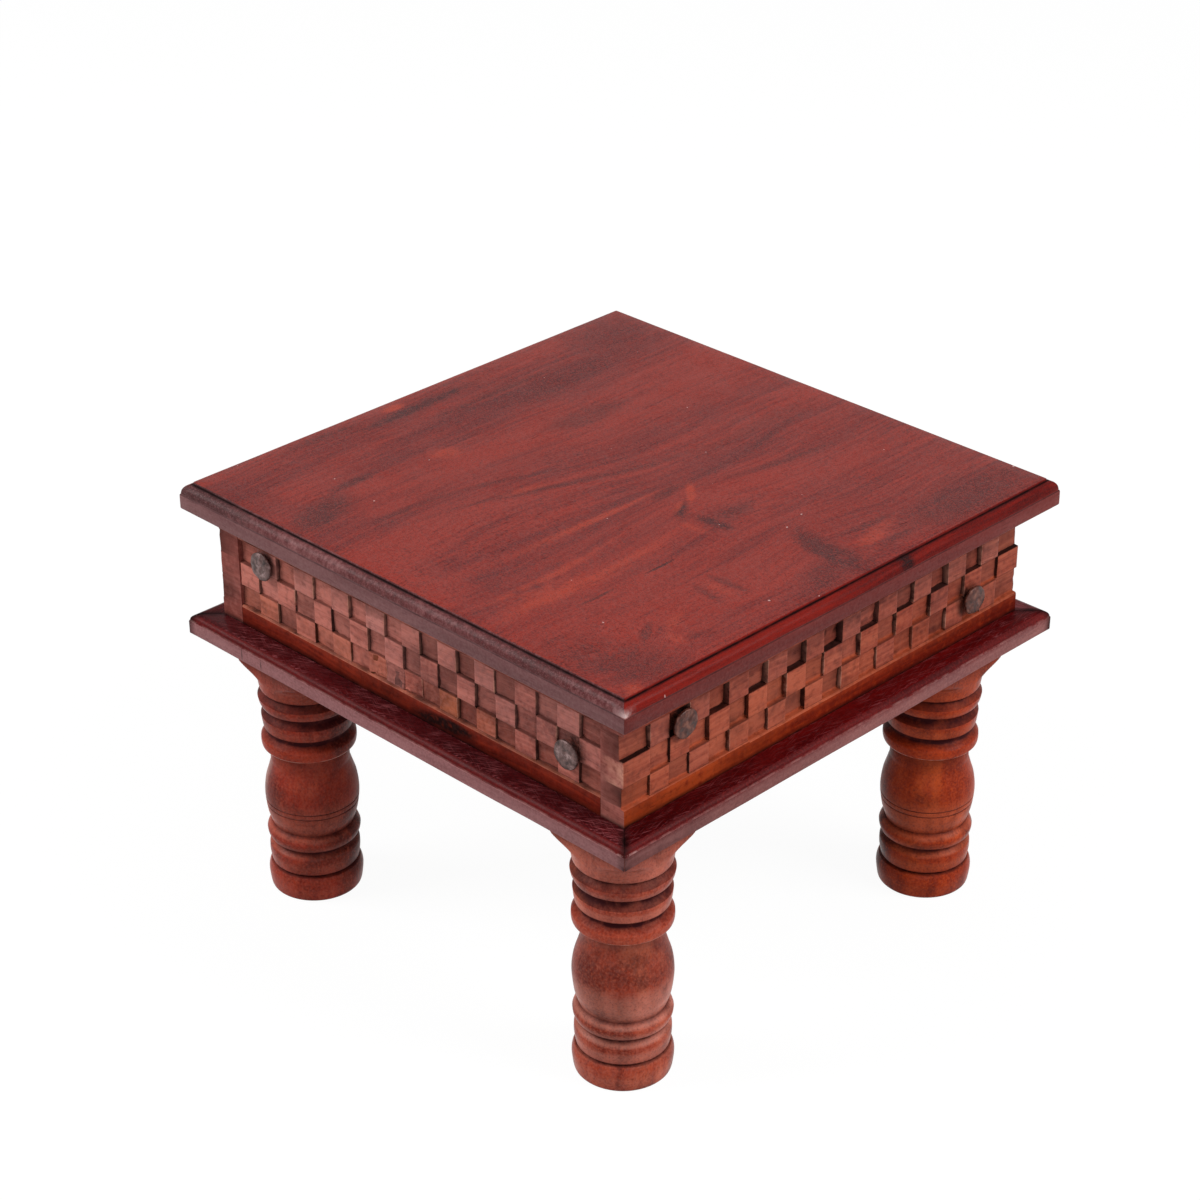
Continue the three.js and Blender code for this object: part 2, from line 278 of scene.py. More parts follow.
# Mesh helpers

def meshOf(name, points, faces):
    mesh = bpy.data.meshes.new(name)
    mesh.from_pydata([tuple(p) for p in points], [], faces)
    mesh.update()
    return mesh


def tidyNormals(mesh):
    work = bmesh.new()
    work.from_mesh(mesh)
    bmesh.ops.recalc_face_normals(work, faces=work.faces)
    work.to_mesh(mesh)
    work.free()


# Shade the mesh, hang it on the table's body and let it stand for its node.
def finishPiece(mesh, node, finishes, sharp):
    tidyNormals(mesh)
    mesh.shade_smooth()
    mesh.set_sharp_from_angle(angle=math.radians(sharp))
    piece = addObject(mesh.name, mesh)
    for finish in finishes:
        mesh.materials.append(finish)
    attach(piece, "root")
    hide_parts(node)


# Keep each vertex's grime and painted shade, wear and painted highlight, and tone for the
# finishes.
def paint(mesh, rows):
    for name, values in zip(("grimeAndShade", "wearAndHighlight", "tone"), zip(*rows)):
        mesh.attributes.new(name, "FLOAT", "POINT").data.foreach_set("value", values)


# How far in from the edge, down from the face and from the near corner a point is, in mm.
def edgePlace(co, half, level):
    inset = half - max(abs(co.x), abs(co.y)) / mm
    near = math.hypot(co.x / mm - half, co.y / mm + half)
    return inset, (level - co.z) / mm, near


# A point turned about the table's middle by quarter turns.
def turnedRound(point, turns):
    x, y, z = point
    for _ in range(turns % 4):
        x, y = -y, x
    return Vector((x, y, z))


def circle(steps):
    return [(math.cos(2 * math.pi * step / steps), math.sin(2 * math.pi * step / steps))
            for step in range(steps)]


# Quads between rows of points that each go all the way round, and a face at either end.
def loopFaces(rows, size):
    faces = []
    for a in range(0, (rows - 1) * size, size):
        for column in range(size):
            after = (column + 1) % size
            faces.append((a + column, a + after, a + size + after, a + size + column))
    faces.append(tuple(reversed(range(size))))
    faces.append(tuple(range((rows - 1) * size, rows * size)))
    return faces


# Extra points on a smooth curve through the given ones.
def smoothLine(points, steps):
    line = []
    ends = [points[0], *points, points[-1]]
    for before, start, end, after in zip(ends, ends[1:], ends[2:], ends[3:]):
        for step in range(steps):
            t = step / steps
            line.append(tuple(
                0.5 * (2 * b + (c - a) * t + (2 * a - 5 * b + 4 * c - d) * t * t
                       + (3 * b - a - 3 * c + d) * t ** 3)
                for a, b, c, d in zip(before, start, end, after)))
    return line + [points[-1]]


# Inset and drop of a rounded edge, from its crown out to its side.
def quarterRound(centre, reach, rise, steps, start):
    angles = [math.radians(start * (1 - step / steps)) for step in range(steps + 1)]
    return [(centre[0] - reach * math.cos(angle), centre[1] - rise * math.sin(angle))
            for angle in angles]


def wobble(a, b, c, size):
    return noise.noise(Vector((a, b, c))) * size


def middleOf(node):
    low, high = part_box(node)
    return (low + high) / 2


# Top

topLook = {  # mm
    "border": 5.4,
    "quirk": 1.3,  # depth of the step inside the bead
    "beadReach": 4.35, "beadDrop": 4.9,
    "corner": 0.7,  # rounding of the nose at the corners
    "sideSteps": 44, "cornerSteps": 3,
    "wave": 0.14,  # hand planing
    "fieldShares": (0.1, 0.3, 0.55, 0.8, 0.95),
}


# Inset and drop of the top's edge, from the field round to the underside.
def topOutline(look, thickness):
    border, quirk, beadDrop = look["border"], look["quirk"], look["beadDrop"]
    bead = quarterRound((border - 0.6, quirk + beadDrop), look["beadReach"], beadDrop, 12, 84)
    nose, under = bead[-1]
    return [
        (border + 0.1, 0), (border - 0.15, 0.06), (border - 0.32, 0.26), (border - 0.38, 0.6),
        (border - 0.42, quirk - 0.15), (border - 0.5, quirk + 0.2), (border - 0.7, quirk + 0.22),
        *bead, (nose - 0.06, under + 0.22), (0.1, under + 0.42), (0, under + 0.8),
        (0, thickness * 0.7), (0.02, thickness - 0.9), (0.12, thickness - 0.35),
        (0.4, thickness - 0.06), (0.8, thickness),
    ]


# Points round a square with softened corners, in mm.
def squareLoop(half, look, row):
    corner, sideSteps, cornerSteps = look["corner"], look["sideSteps"], look["cornerSteps"]
    reach = half - corner
    side = [(-reach + 2 * reach * step / sideSteps, -half) for step in range(sideSteps)]
    for step in range(cornerSteps):
        angle = -quarter + quarter * step / cornerSteps
        side.append((reach + corner * math.cos(angle), -reach + corner * math.sin(angle)))
    loop = []
    for face in range(4):
        for x, y in side:
            shift = look["wave"] * (0.5 + wobble(x * 0.03, face * 7.3, row * 0.16, 1))
            spare = 1 - max(shift, 0) / half
            loop.append(turnedRound((x * spare, y * spare, 0), face))
    return loop


# Dirt and painted shade in the step, painted shade under the bead, and bare wood with a painted
# highlight on the near corner.
def topDirtAndShade(co, half, level, look):
    inset, drop, near = edgePlace(co, half, level)
    ledge = look["quirk"] + look["beadDrop"] + 0.3
    # dirt and painted shade in the step inside the bead
    groove = min(1, max(0, drop - 0.45) * 1.6)
    groove *= min(1, max(0, (inset - look["border"] + 1.95) / 1.2))
    # painted shade under the bead
    under = 0.6 if ledge - 0.1 < drop < ledge + 0.3 and inset < 1.2 else 0
    # wear and a painted highlight on the near corner
    wearAndHighlight = max(1.4 - near / 2.2, 0) if look["quirk"] < drop < ledge else 0
    return max(groove, under), wearAndHighlight, 0


def makeTop(look, finishes):
    low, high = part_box("top_board_wide")
    half = high.y / mm
    thickness = (high.z - low.z) / mm
    field = half - look["border"]
    outline = [(field * share, 0) for share in look["fieldShares"]]
    outline += [(half - inset, drop) for inset, drop in topOutline(look, thickness)]
    outline += [(half * 0.8, thickness), (half * 0.4, thickness)]
    points = [(place.x * mm, place.y * mm, high.z - drop * mm)
              for row, (reach, drop) in enumerate(outline)
              for place in squareLoop(reach, look, row)]
    size = 4 * (look["sideSteps"] + look["cornerSteps"])
    whole = meshOf("top_whole", points, loopFaces(len(outline), size))
    tidyNormals(whole)
    ledge = look["quirk"] + look["beadDrop"]
    for polygon in whole.polygons:  # 0 field, 1 and 2 beads, 3 and 4 fascias
        inset, drop, _ = edgePlace(polygon.center, half, high.z)
        if inset < look["border"] and 0.1 < drop < thickness - 0.05:
            isSide = abs(polygon.center.y) <= abs(polygon.center.x)
            polygon.material_index = (3 if drop > ledge else 1) + isSide
    for name, side, finish in (("top_board_wide", 1, finishes[0]),
                               ("top_board_narrow", -1, finishes[1])):
        work = bmesh.new()
        work.from_mesh(whole)
        geometry = work.verts[:] + work.edges[:] + work.faces[:]
        cut = bmesh.ops.bisect_plane(work, geom=geometry, plane_co=(high.x, 0, 0),
                                     plane_no=(side, 0, 0), clear_outer=True)
        edges = [part for part in cut["geom_cut"] if isinstance(part, bmesh.types.BMEdge)]
        bmesh.ops.holes_fill(work, edges=edges, sides=0)
        mesh = bpy.data.meshes.new(name.replace("board", "plank"))
        work.to_mesh(mesh)
        work.free()
        paint(mesh, [topDirtAndShade(vertex.co, half, high.z, look) for vertex in mesh.vertices])
        finishPiece(mesh, name, [finish] + finishes[2:], sharp=40)
    bpy.data.meshes.remove(whole)


# Marks on the top, shade by shade: x, y, reach along x and y, turn and strength.
def topMarks(*groups):
    return [((x, y, 231), (wide, long, 30), turn, share, shade)
            for shade, *rows in groups for x, y, wide, long, turn, share in rows]


cornerBend = {"centre": (122, -126, 231), "reach": (36, 36, 40), "push": (-0.014, 0, 0)}
topWood = dict(
    woodBase, **stain((74, 18, 20), (101, 25, 22), (136, 40, 29)),
    shade=(48, 12, 15), glow=(168, 58, 36), wornAndHighlight=(214, 186, 182), grimeAndShade=(26, 8, 9),
    offset=(0.31, 0.12, 0.4), spread=(0.41, 0.68), streak=150, fineShare=0.4,
    markEdge=(0.03, 0.72), mottle=1500, mottleReach=0.12, mottleShare=0.6,
    hazeShare=0.08, dust=22, specular=0.09, roughness=(0.36, 0.46),
    bends=[
        {"centre": (46, 4, 231), "reach": (34, 70, 40), "push": (0.010, 0.004, 0)},
        {"centre": (-25, -80, 231), "reach": (60, 110, 40), "push": (0.018, 0, 0)},
        cornerBend,
    ],
    marks=[((54, -84, 231), (30, 96, 40), 0, 0.7, "light")] + topMarks(
        ("light", (14, -142, 44, 28, 0, 1)),
        ("glow", (56, -104, 10, 34, 0, 0.5)),
        ("deep", (-112, -140, 34, 20, 0, 0.5), (-128, 124, 34, 40, 0, 0.7)),
        ("shade", (-104, 60, 14, 60, 0, 0.4)),
        ("light", (68, 95, 9, 64, 0, 0.6), (-31, 105, 10, 60, 0, 0.5), (-49, -50, 10, 36, 0, 0.5),
         (-81, -94, 9, 26, 4, 0.8), (-50, -98, 9, 28, -8, 0.8), (22, -110, 5, 52, 0, 0.7)),
        ("glow", (24, -42, 3, 62, 0, 0.7), (46, -95, 3.5, 60, 2, 0.6), (63, -82, 5, 74, 0, 0.6)),
        ("shade", (-134, -12, 6, 52, 0, 0.9), (-117, 28, 3.5, 62, 0, 0.6),
         (-140, -70, 5, 34, 0, 0.5), (-90, -92, 4.5, 20, 0, 0.7), (-73, -125, 17, 30, 20, 0.8),
         (-63, 42, 12, 34, 0, 0.5), (-40, -96, 4, 32, -6, 0.5), (20, 72, 4, 78, 9, 0.5),
         (42, 66, 4, 62, -7, 0.5), (6, 92, 6, 62, 0, 0.35), (-4, 5, 3.5, 72, -7, 0.5),
         (-28, -35, 3.5, 72, -15, 0.5), (-14, -52, 3, 62, -13, 0.45), (68, 14, 7, 16, 0, 0.6),
         (29, 6, 6, 14, 12, 0.6),
         (54, -2, 13, 5, -48, 1), (69, -1, 12, 5, 0, 0.95)),  # the knot
        ("glow", (40, 14, 17, 3.5, -32, 0.8), (49, 0, 8, 3, -50, 0.6), (67, -11, 9, 4, 0, 0.5),
         (-142.5, -22, 4, 9, 0, 0.9), (-80, -39, 9, 12, -30, 0.6), (-14, -40, 4, 16, -8, 0.4)),
    ),
)
topNarrowWood = dict(
    topWood,
    offset=(0.77, 0.5, 0.1),
    bends=[
        cornerBend,
        {"centre": (112, 20, 231), "reach": (40, 50, 40), "push": (0.010, 0.006, 0)},
    ],
    marks=topMarks(
        ("grimeAndShade", (76, -50, 1.4, 12, 0, 0.9), (76, -92, 1.6, 14, 0, 0.7)),
        ("shade", (125, 20, 32, 11, -10, 0.8), (136, 48, 3, 18, 14, 0.7),
         (120, 52, 3, 20, 10, 0.5)),
        ("glow", (129, 46, 4, 24, 24, 0.55), (110, -47, 12, 4, 0, 0.4)),
        ("shade", (110, -41, 16, 3, 6, 0.55), (109, -54, 15, 3, -6, 0.5)),
        ("glow", (116, -84, 4, 12, 20, 0.45), (126, -95, 9, 4, 0, 0.45)),
        ("shade", (131, -86, 3.5, 9, -10, 0.6), (111, -100, 3.5, 10, 10, 0.6),
         (120, -126, 46, 24, 24, 0.6), (138, 0, 12, 44, 4, 0.5), (132, 106, 24, 60, 0, 0.6)),
        ("glow", (141, -140, 9, 6, -30, 0.7)),
    ),
)
endBeadWood = dict(
    woodBase,  # end grain, which took up more stain
    **stain((52, 18, 21), (84, 34, 36), (134, 84, 84)),
    grimeAndShade=(22, 8, 9), wornAndHighlight=(205, 172, 170), grain=2, stretch=14, streak=420,
    mottle=1300, mottleShare=0.5, hazeShare=0.08,
    specular=0.1, roughness=(0.34, 0.46), bump=0.4,
    marks=[((-128, -150, 226), (40, 20, 20), 0, 0.9, "deep")],
)
sideBeadWood = dict(
    topWood, **stain((62, 8, 8), (90, 13, 10), (122, 25, 17)),
    shade=(30, 12, 14), hazeShare=0.015, mottleShare=0.3,
    specular=0.045, roughness=(0.22, 0.34), bends=[],
    marks=[((149, 36, 228), (8, 7, 14), 0, 1, "shade")],
)
# front and back: pinkish grey, the wood's colour with a painted reflection of the pale floor
fasciaWood = dict(
    woodBase, **stain((86, 48, 49), (104, 64, 65), (124, 82, 82)),
    grimeAndShade=(40, 16, 18), wornAndHighlight=(170, 112, 108), grain=0,
    mottleShare=0.3, specular=0.12, roughness=(0.4, 0.52),
)
sideFasciaWood = dict(
    fasciaWood, **stain((80, 28, 26), (98, 36, 33), (116, 50, 46)),
    grain=1, shade=(68, 23, 22), hazeShare=0.06, specular=0.08,
)
topLooks = {
    "top wood": topWood, "top wood narrow": topNarrowWood, "top end bead": endBeadWood,
    "top side bead": sideBeadWood, "top fascia": fasciaWood, "top side fascia": sideFasciaWood,
}
makeTop(topLook, [woodFinish(name, look) for name, look in topLooks.items()])
print("top is made")


# Base frame: four mitred mouldings

railLook = {  # mm
    "roundReach": 4.6, "roundDrop": 3.4, "lip": 0.4, "mitreGap": 0.15, "steps": 60, "wave": 0.3,
    "tenonHole": 9.3, "screwHead": 4.3, "screwShank": 2.3, "screwSink": 2.9, "holeDepth": 14,
    "holeSteps": 48,
    "seat": 12.9, "seatReach": 2.4,  # painted shade where the apron stands
    "mitreReach": 0.5,
    "nearDirt": (0.3, 0.5), "nearReach": 160,  # on the fascia, towards the near corner
    "fade": (0.3, 0.95), "fadeReach": 2.6,  # red carried down over the fascia
    "crestWearAndHighlight": (1.3, 7, 0.16),  # wear and painted highlight: on the corner, falling off over, elsewhere
}


def railOutline(look, width, thickness):
    lip, reach, drop = look["lip"], look["roundReach"], look["roundDrop"]
    under = drop + lip
    return [
        (width, 0), (width * 0.6, 0), (width * 0.3, 0), (9, 0),
        *quarterRound((lip + reach, drop), reach, drop, 9, 88),
        (0.12, under - 0.1), (0, under + 0.25), (0, under + 1.2), (0, under + 2.4),
        (0.02, thickness * 0.72), (0.02, thickness - 0.6), (0.08, thickness - 0.18),
        (0.3, thickness), (1, thickness), (width * 0.3, thickness), (width, thickness),
    ]


# A closed turning in the shape of a hole.
def cutter(outline, place, level, steps):
    points = [(place.x + radius * mm * x, place.y + radius * mm * y, level + up * mm)
              for radius, up in outline for x, y in circle(steps)]
    mesh = meshOf("hole", points, loopFaces(len(outline), steps))
    tidyNormals(mesh)
    return addObject("hole", mesh)


# Take the helpers' shapes out of the piece and put the helpers away.
def cutHoles(piece, helpers):
    for helper in helpers:
        change = piece.modifiers.new("hole", "BOOLEAN")
        change.operation = "DIFFERENCE"
        change.solver = "EXACT"
        change.object = helper
    graph = bpy.context.evaluated_depsgraph_get()
    mesh = bpy.data.meshes.new_from_object(piece.evaluated_get(graph))
    piece.modifiers.clear()
    old = piece.data
    piece.data = mesh
    mesh.name = old.name
    for shape in [old] + [helper.data for helper in helpers]:
        bpy.data.meshes.remove(shape)  # takes its helper along


# Painted shade at the apron's foot, dirt in the mitres, wear and a painted highlight on the crest,
# red over the fascia.
def railDirtAndShade(co, half, level, side, look):
    inset, drop, near = edgePlace(co, half, level)
    turn = look["roundDrop"] + 0.35
    seat = dull = wearAndHighlight = fade = 0
    # painted shade where the apron stands on the rail
    if drop < 0.4:
        seat = 0.8 * max(0, 1 - abs(inset - look["seat"]) / look["seatReach"])
    if drop > turn + 0.3:
        dull = look["nearDirt"][side] * max(0, 1 - near / look["nearReach"])
    mitre = 0.9 if abs(abs(co.x) - abs(co.y)) < look["mitreReach"] * mm else 0
    # wear and a painted highlight along the crest, strongest at the near corner
    if turn - 0.8 < drop < turn + 0.2 and inset < 2:
        most, reach, least = look["crestWearAndHighlight"]
        wearAndHighlight = max(most - near / reach, least)
    if drop > 3 and inset < 1:
        fade = min(1, max(0, 1 - (drop - turn) / look["fadeReach"]))
    return max(seat, mitre, dull), wearAndHighlight, -look["fade"][side] * fade


def makeRail(face, look, finishes):
    name = faceNames[face] + "_base_rail"
    low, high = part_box("front_base_rail")
    half = -low.y / mm
    width = (high.y - low.y) / mm
    outline = railOutline(look, width, (high.z - low.z) / mm)
    steps = look["steps"]
    points = []
    for row, (inset, drop) in enumerate(outline):
        reach = half - inset
        for step in range(steps + 1):
            along = (2 * step / steps - 1) * (reach - look["mitreGap"])
            near = 1 if inset < width * 0.2 else 0
            dent = look["wave"] * max(0, 0.45 + wobble(along * 0.022, face * 9.1, row * 0.03, 1))
            sag = wobble(along * 0.04, row * 0.1, face * 3, 0.08) if 0 < row < 12 else 0
            end = min(1, (reach - abs(along)) / 12)
            out = reach - dent * near * end
            up = high.z / mm - drop - abs(sag) * end
            points.append(turnedRound((along * mm, -out * mm, up * mm), face))
    rows, size = len(outline), steps + 1
    faces = []
    for row in range(rows):
        a, b = row * size, (row + 1) % rows * size
        faces += [(a + step, b + step, b + step + 1, a + step + 1) for step in range(steps)]
    faces.append(tuple(range(0, rows * size, size)))
    faces.append(tuple(range(rows * size - 1, 0, -size)))
    mesh = meshOf(name.replace("rail", "moulding"), points, faces)
    tidyNormals(mesh)
    piece = addObject("rail work", mesh)
    head, shank, depth = look["screwHead"], look["screwShank"], look["holeDepth"]
    tenon = [(look["tenonHole"], -2), (look["tenonHole"], depth)]
    screw = [(head, -1), (head, 0), (shank, look["screwSink"]), (shank, depth)]
    holes = [(cornerNames[corner] + "_leg", tenon) for corner in (face, (face + 3) % 4)]
    holes += [(f"{faceNames[face]}_frame_screw_{index}", screw) for index in (1, 2)]
    cutHoles(piece, [cutter(shape, middleOf(node), low.z, look["holeSteps"])
                     for node, shape in holes])
    mesh = piece.data
    bpy.data.objects.remove(piece)
    for polygon in mesh.polygons:  # 0 top, 1 rounding, 2 fascia, 3 below
        inset, drop, _ = edgePlace(polygon.center, half, high.z)
        if drop > look["roundDrop"] + 0.35:
            polygon.material_index = 2 if inset < 2 else 3
        elif drop > 0.6 and inset < look["roundReach"] + 1:
            polygon.material_index = 1
    paint(mesh, [railDirtAndShade(vertex.co, half, high.z, face % 2, look) for vertex in mesh.vertices])
    finishPiece(mesh, name, finishes, sharp=36)


railWood = dict(
    woodBase, **stain((46, 6, 10), (70, 9, 13), (106, 18, 19)),
    shade=(40, 8, 11), grimeAndShade=(14, 4, 5), wornAndHighlight=(214, 170, 164),
    haze=(120, 70, 72), scratch=(150, 80, 84), hazeShare=0.08, poreShare=0.2,
    streak=170, spread=(0.36, 0.66), blotchShare=0.3, mottleShare=0.4,
    specular=0.045, roughness=(0.26, 0.38),
)
railNoseWood = dict(
    railWood, **stain((56, 7, 9), (86, 14, 15), (122, 34, 32)),
    shade=(46, 7, 9), dull=(98, 20, 20),
)
# pinkish grey: the wood's colour with a painted reflection of the pale floor
railFasciaWood = dict(
    woodBase, **stain((120, 72, 73), (145, 93, 94), (167, 115, 115)),
    shade=(98, 54, 56), grimeAndShade=(34, 12, 14), wornAndHighlight=(214, 176, 170), dull=(100, 34, 34),
    mottleShare=0.35, blotchShare=0.4, specular=0.1, roughness=(0.36, 0.5),
)
# the sides' fascia, a little redder, with the same painted reflection
railSideFasciaWood = dict(railFasciaWood, **stain((106, 56, 54), (132, 78, 75), (154, 98, 94)))
railUnderWood = dict(
    railFasciaWood, **stain((84, 40, 36), (108, 54, 46), (130, 70, 58)), roughness=(0.5, 0.66),
)
acrossLooks = {
    "wood": dict(railWood, offset=(0.2, 0.9, 0.4), scratches=[(22, 0.8), (36, 0.6), (-24, 0.3)]),
    "nose": railNoseWood,
    "fascia": dict(railFasciaWood, marks=[  # cracks
        ((-111.5, -152.4, 150), (0.7, 4, 9), 0, 1, "grimeAndShade"),
        ((-97, -152.4, 148), (0.7, 4, 5), 0, 0.9, "grimeAndShade"),
    ]),
    "underside": railUnderWood,
}
alongLooks = {
    "wood": dict(railWood, **stain((44, 3, 5), (68, 4, 6), (104, 12, 11)), offset=(0.6, 0.3, 0.8),
                 specular=0.02, hazeShare=0.03, scratches=[(78, 0.35), (106, 0.2)]),
    "nose": railNoseWood, "fascia": railSideFasciaWood, "underside": railUnderWood,
}
railFinishes = [
    [woodFinish(f"rail {part} across", dict(look, grain=0)) for part, look in acrossLooks.items()],
    [woodFinish(f"rail {part} along", look) for part, look in alongLooks.items()],
]
for face in range(4):
    makeRail(face, railLook, railFinishes[face % 2])
print("base frame is made")


# Apron: boards with three rows of chiselled cells between plain bands

apronLook = {  # mm
    "band": 11,
    "relief": 0.6,  # bands stand proud of raised cells
    "depth": (1.9, 2.4), "rowDepth": [(0.95, 1, 1.15), (0.9, 1, 1.5)],
    "hole": 4.8,  # a chip this deep gets painted shade
    "rows": 3, "columns": (19, 21),
    "wall": 0.13,  # half the width of a chiselled wall
    "shift": 0.45,  # cell edges wander
    "tilt": 0.4,
    "drift": (2.6, 2.7),  # how far the cells stray along a board
    "lower": [  # rows cut low: near end, far end
        [(0.3, 0.3), (1.5, 1.5), (1.1, 1.1), (0.6, 0.6)],
        [(1.9, 0.7), (3.2, -0.5), (2, -0.4), (1.2, 0)],
    ],
    "rowTone": [(0.1, -0.15, -0.2), (0.1, 0, -0.2)],
    "proudTone": (-0.12, 0),  # raised cells on the front and back are a little paler: painted sheen
    "seat": (4.4, 2.6),  # how far stain and painted shade climb from the base
    "floorDirt": (0.5, 0.34), "stepDirt": (0.75, 0.2),
    "halo": 11.5,  # reach of the painted shadow round the nails
    "faceAt": 139,  # from the table's middle
    "odd": {  # face, row, column: depth, rough, tone
        (0, 0, 1): (0.7, 0.1, 0.4), (0, 0, 5): (0.7, 0.1, 0.35), (0, 0, 11): (0.7, 0.1, 0.85),
        (0, 0, 13): (0.7, 0.1, 0.4), (0, 0, 7): (1.2, 1, 0.3), (0, 0, 8): (1.4, 1.2, -0.3),
        (0, 0, 9): (1.5, 1.2, 0), (1, 2, 2): (4.8, 0.3, 0), (1, 0, 1): (0.7, 0.1, 0.2),
        (1, 0, 0): (2, 0.3, 0.4), (3, 0, 20): (0.6, 0.6, 0), (3, 1, 20): (0.4, 0.4, 0),
        (3, 2, 20): (0.7, 0.6, 0),
    },
    "seed": 41, "cellLines": (0, 0.035, 0.12, 0.3, 0.5, 0.7, 0.88, 0.965, 1),
}


# Stray edges, uneven rows and the cells of one board, all drawn by chance.
def carvingPlan(face, look):
    chance = random.Random(look["seed"] + face)
    side = face % 2
    rows, columns = look["rows"], look["columns"][side]
    edges = []
    for _ in range(rows):
        strays = [0]
        for column in range(1, columns):
            way = column / columns
            stray = 1.5 - 2.6 * way if side else math.sin(2 * math.pi * way)
            strays.append(stray * look["drift"][side] + chance.uniform(-1, 1) * look["shift"])
        edges.append(strays + [0])
    steps = [[chance.uniform(-1, 1) * look["shift"] * 0.2 for _ in range(columns)]
             for _ in range(rows + 1)]
    steps[0] = steps[-1] = [0] * columns  # no steps against the plain bands
    cells = {}
    for row in range(rows):
        for column in range(columns):
            isSunk = (row + column) % 2 == 0
            depth = look["relief"] + chance.uniform(-0.12, 0.15)
            tone = look["rowTone"][side][row] + chance.uniform(-0.18, 0.18)
            rough, tilt = 0.12, look["tilt"]
            if isSunk:
                reach = look["depth"][side] * look["rowDepth"][side][row]
                depth += reach * chance.uniform(0.7, 1.15)
                rough = 0.6
            else:
                tone += look["proudTone"][side]
                tilt *= 0.35
            depth, rough, tone = look["odd"].get((face, row, column), (depth, rough, tone))
            cells[row, column] = (isSunk, depth, rough, tone,
                                  chance.uniform(-tilt, tilt), chance.uniform(-tilt, tilt),
                                  chance.uniform(0, 0.9),
                                  chance.uniform(0, look["floorDirt"][side]))
    return edges, steps, cells


# Lines of the grid: row, share of the row, height in a plain band.
def apronLevels(look, high):
    band, top = look["band"], high - look["band"]
    below = (0, 3, 6.5, band - 1.1, band - 0.45, band - 0.08)
    above = (top + 0.08, top + 0.45, top + 1.1, high - 5, high)
    return [*((None, 0, up) for up in below),
            *((row, share, 0) for row in range(look["rows"]) for share in look["cellLines"]),
            *((None, 0, up) for up in above)]


# The carved side from the bottom: along, up, depth and (grime, wear, tone) of each point.
def apronGrid(face, look, length, high):
    edges, steps, cells = carvingPlan(face, look)
    side = face % 2
    rows, columns, band, wall = look["rows"], look["columns"][side], look["band"], look["wall"]

    def markedAt(column):
        return column * length / columns - length / 2

    # how far the line under a row strays down from the marking out
    def sagOf(row, place):
        near, far = look["lower"][side][row]
        return near + (far - near) * place / columns

    def bandPoint(level, column, part):
        row = rows if level > high / 2 else 0
        follow = min(level, high - level) / band
        strays = edges[-1 if row else 0]
        along = markedAt(column + part)
        along += follow * (strays[column] * (1 - part) + strays[column + 1] * part)
        depth = dirtAndShade = 0
        if band - 1 < level < high - band + 1:
            depth = 0.18 if abs(level - band) > 0.4 else look["relief"]
            dirtAndShade = look["stepDirt"][side] * (0.6 + wobble(along * 0.1, 0, 0, 0.8))
        tone = 0 if row else max(0, level / band - 0.4)
        return along, level - sagOf(row, column + part) * follow, depth, (dirtAndShade, 0, tone)

    def cellPoint(row, share, column, part):
        left = markedAt(column) + edges[row][column]
        right = markedAt(column + 1) + edges[row][column + 1]
        if column > 0 or not side:  # the side boards' end cells are open
            left += wall
        if column < columns - 1 or not side:
            right -= wall
        bottom, top = (
            band + line * (high - 2 * band) / rows - sagOf(line, column + part)
            + steps[line][column] + inward for line, inward in ((row, wall), (row + 1, -wall)))
        along = left + (right - left) * part
        up = bottom + (top - bottom) * share
        isSunk, depth, rough, tone, tiltAlong, tiltUp, rub, soil = cells[row, column]
        depth += tiltAlong * (part - 0.5) + tiltUp * (share - 0.5)
        depth += rough * noise.noise(Vector((along * 0.35, up * 0.5, face * 5)))
        isRim = part in (0, 1) or share in (0, 1)
        wornAndHighlight = dirtAndShade = 0
        if isSunk:
            depth += 0.15 if share > 0.9 else 0
            # darker along a sunk cell's rim: dirt and painted shade
            dirtAndShade = soil + (0.4 if isRim else 0)
            # painted light: on the side boards the upward ledge at the foot of a lower sunk cell
            # is clean and warmer
            if side and share < 0.04 and row < 2:
                dirtAndShade, tone = 0, 0.5
        elif isRim:
            depth += 0.2
            dirtAndShade = 0.6 if share in (0, 1) else 0
            wornAndHighlight = rub if part == 1 - side else 0
        return along, up, max(depth, 0), (dirtAndShade, wornAndHighlight, tone)

    return [[bandPoint(level, column, part) if row is None
             else cellPoint(row, share, column, part)
             for column in range(columns) for part in look["cellLines"]]
            for row, share, level in apronLevels(look, high)]


